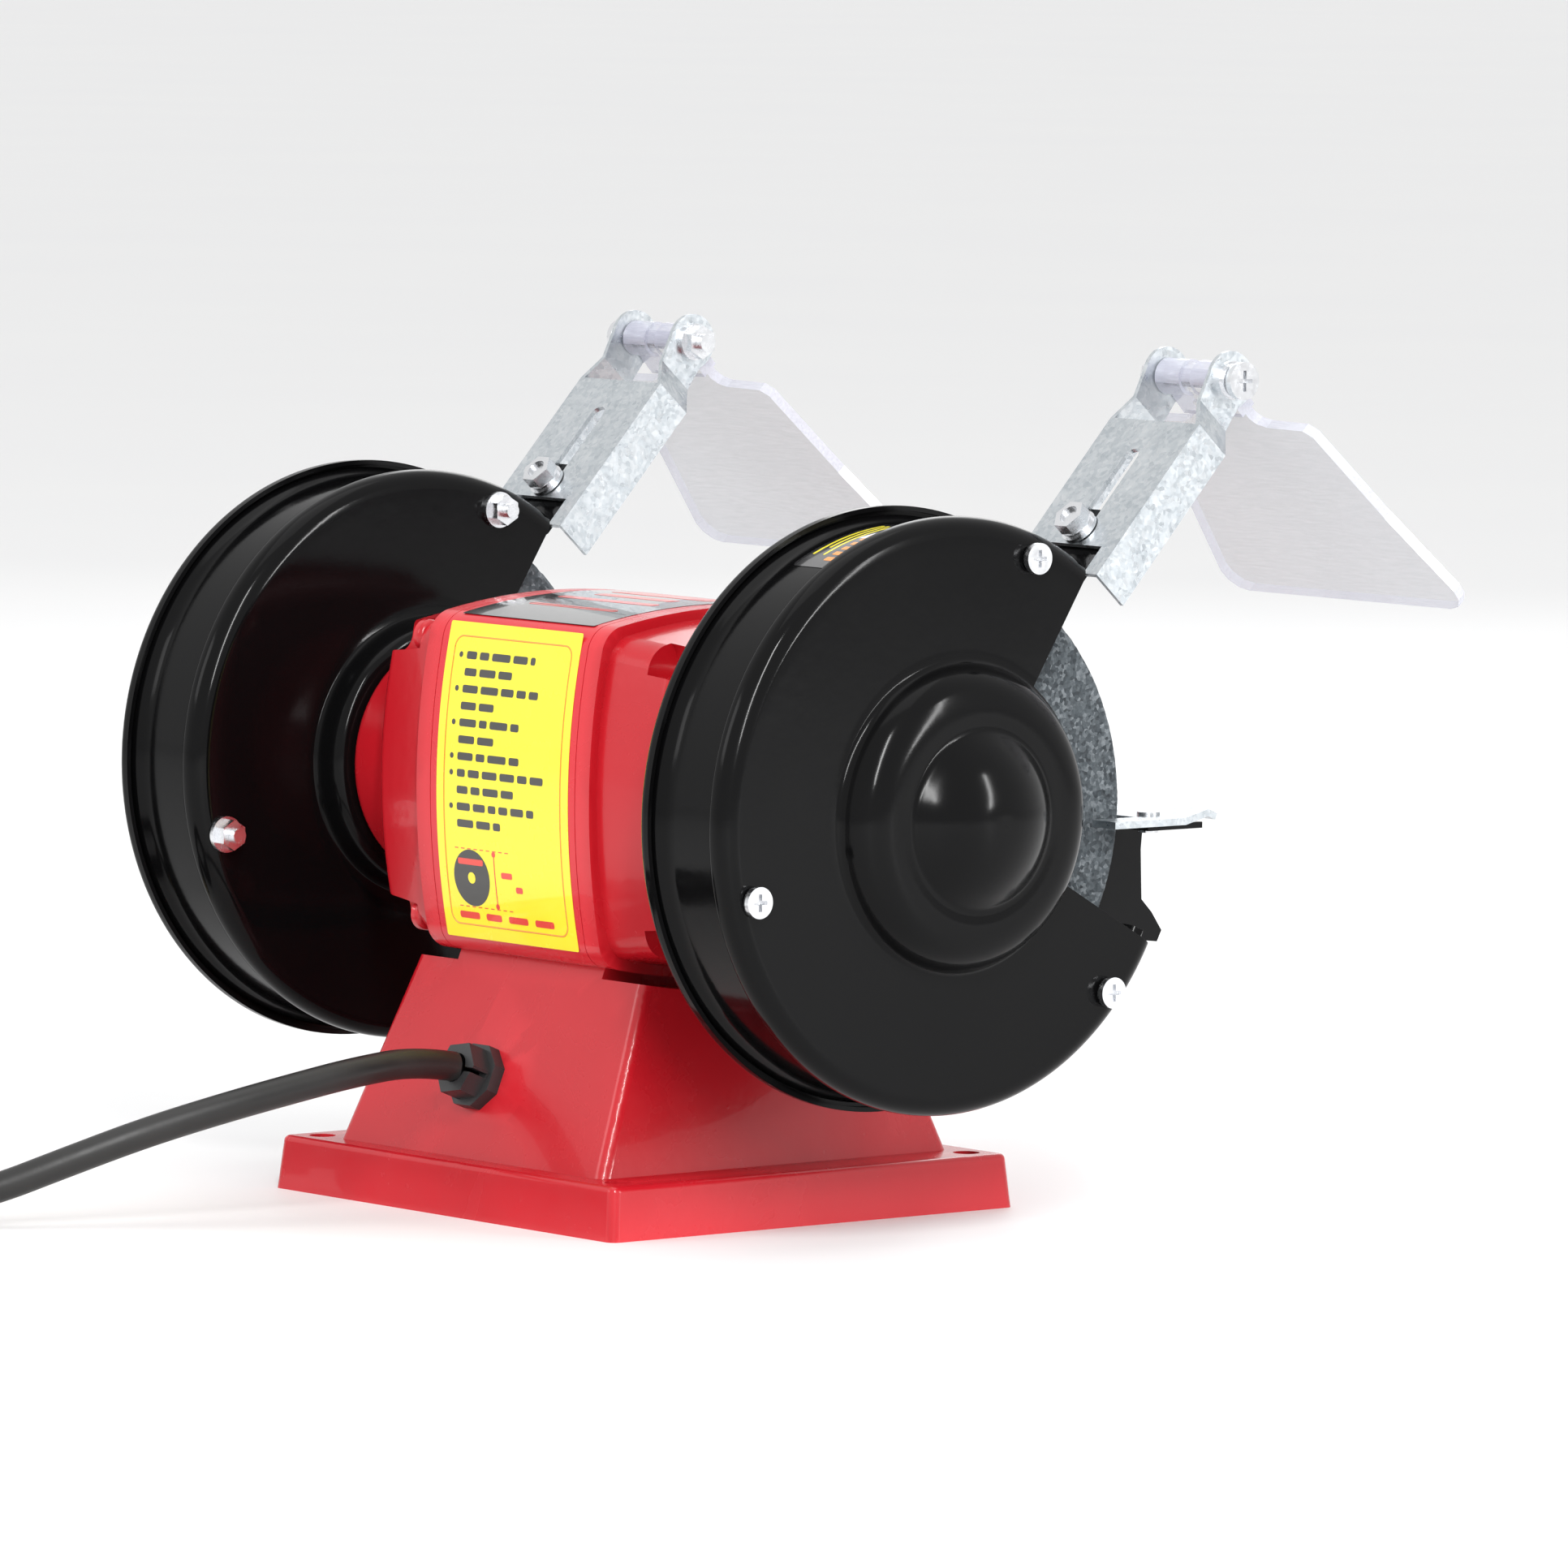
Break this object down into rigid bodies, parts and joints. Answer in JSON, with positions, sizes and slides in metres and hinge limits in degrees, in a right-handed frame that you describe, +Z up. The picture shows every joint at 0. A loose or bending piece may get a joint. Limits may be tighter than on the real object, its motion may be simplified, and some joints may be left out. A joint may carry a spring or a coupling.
{
  "type": "bench grinder",
  "caption": "Double-ended bench grinder: cast base and motor, guarded abrasive wheels, tilting eye shields, sliding tool rests and a mains lead.",
  "frame": {"origin": "centre of the base footprint on the bench plane", "axes": "+Z up, +X along the shaft to the user's right, -Y towards the user"},
  "size_m": [0.358, 0.4092, 0.2245],
  "materials": {
    "red_paint": "glossy red enamel",
    "black_paint": "glossy black enamel",
    "zinc_sheet": "spangled zinc plate, satin",
    "zinc_hardware": "bright zinc plated",
    "steel": "machined",
    "laminations": "stacked electrical steel",
    "copper": "enamelled copper wire",
    "abrasive": "vitrified grit, rough, dark blue-grey",
    "paper": "blotting card",
    "clear_plastic": "clear polycarbonate",
    "black_plastic": "moulded nylon",
    "cord_rubber": "matt PVC sheath",
    "switch_green": "moulded rocker",
    "can_grey": "moulded can",
    "pins": "plain brass"
  },
  "bodies": {
    "housing": {"base_casting": "red_paint", "base_cover_plate": "zinc_sheet", "cover_plate_screws": "zinc_hardware", "saddle_screws": "zinc_hardware", "motor_shell": "red_paint", "left_end_bell": "red_paint", "right_end_bell": "red_paint", "tie_bolts": "zinc_hardware", "stator_core": "laminations", "stator_windings": "copper", "left_bearing": "steel", "right_bearing": "steel", "wave_washer": "steel", "left_guard_cover": "black_paint", "left_guard_back": "black_paint", "right_guard_back": "black_paint", "right_guard_cover": "black_paint", "guard_screws": "zinc_hardware", "guard_nuts": "zinc_hardware", "guard_mount_screws": "zinc_hardware", "bracket_bolts": "zinc_hardware", "bracket_washers_and_nuts": "zinc_hardware", "rest_bolts": "zinc_hardware", "switch_body": "black_plastic", "capacitor": "can_grey", "capacitor_clamp": "zinc_sheet", "terminal_block": "black_plastic", "cord_gland": "black_plastic", "power_cord": "cord_rubber", "cord_tail": "cord_rubber", "cord_coil": "cord_rubber", "cord_tie": "black_plastic", "plug_body": "cord_rubber", "plug_pins": "pins"},
    "rotor": {"rotor_core": "laminations", "motor_shaft": "steel", "left_inner_flange": "steel", "left_outer_flange": "steel", "right_inner_flange": "steel", "right_outer_flange": "steel", "left_arbor_nut": "zinc_hardware", "right_arbor_nut": "zinc_hardware", "left_grinding_wheel": "abrasive", "right_grinding_wheel": "abrasive", "wheel_blotters": "paper"},
    "left_bracket": {"left_shield_bracket": "zinc_sheet", "left_pivot_screw": "zinc_hardware", "left_pivot_nut": "zinc_hardware"},
    "left_shield": {"left_eye_shield": "clear_plastic"},
    "left_rest": {"left_rest_plate": "zinc_sheet", "left_rest_bracket": "black_paint", "left_rest_rivets": "zinc_hardware"},
    "right_bracket": {"right_shield_bracket": "zinc_sheet", "right_pivot_screw": "zinc_hardware", "right_pivot_nut": "zinc_hardware"},
    "right_shield": {"right_eye_shield": "clear_plastic"},
    "right_rest": {"right_rest_plate": "zinc_sheet", "right_rest_bracket": "black_paint", "right_rest_rivets": "zinc_hardware"},
    "rocker": {"switch_rocker": "switch_green"}
  },
  "joints": [
    {"name": "wheel_spin", "type": "hinge", "parent": "housing", "child": "rotor", "pos_m": [0, 0, 0.109], "axis": [1, 0, 0], "continuous": true},
    {"name": "left_bracket_slide", "type": "slide", "parent": "housing", "child": "left_bracket", "axis": [0, -0.6739, 0.7389], "range_m": [-0.008, 0]},
    {"name": "left_shield_tilt", "type": "hinge", "parent": "left_bracket", "child": "left_shield", "pos_m": [-0.10875, -0.09305, 0.21704], "axis": [1, 0, 0], "range_deg": [-110, 40]},
    {"name": "left_rest_slide", "type": "slide", "parent": "housing", "child": "left_rest", "axis": [0, -1, 0], "range_m": [-0.0015, 0.01]},
    {"name": "right_bracket_slide", "type": "slide", "parent": "housing", "child": "right_bracket", "axis": [0, -0.6739, 0.7389], "range_m": [-0.008, 0]},
    {"name": "right_shield_tilt", "type": "hinge", "parent": "right_bracket", "child": "right_shield", "pos_m": [0.11075, -0.09305, 0.21704], "axis": [1, 0, 0], "range_deg": [-110, 40]},
    {"name": "right_rest_slide", "type": "slide", "parent": "housing", "child": "right_rest", "axis": [0, -1, 0], "range_m": [-0.0015, 0.01]},
    {"name": "switch_rock", "type": "hinge", "parent": "housing", "child": "rocker", "pos_m": [0, -0.0464, 0.03725], "axis": [0, 0.3773, 0.9261], "range_deg": [-8, 8]}
  ]
}
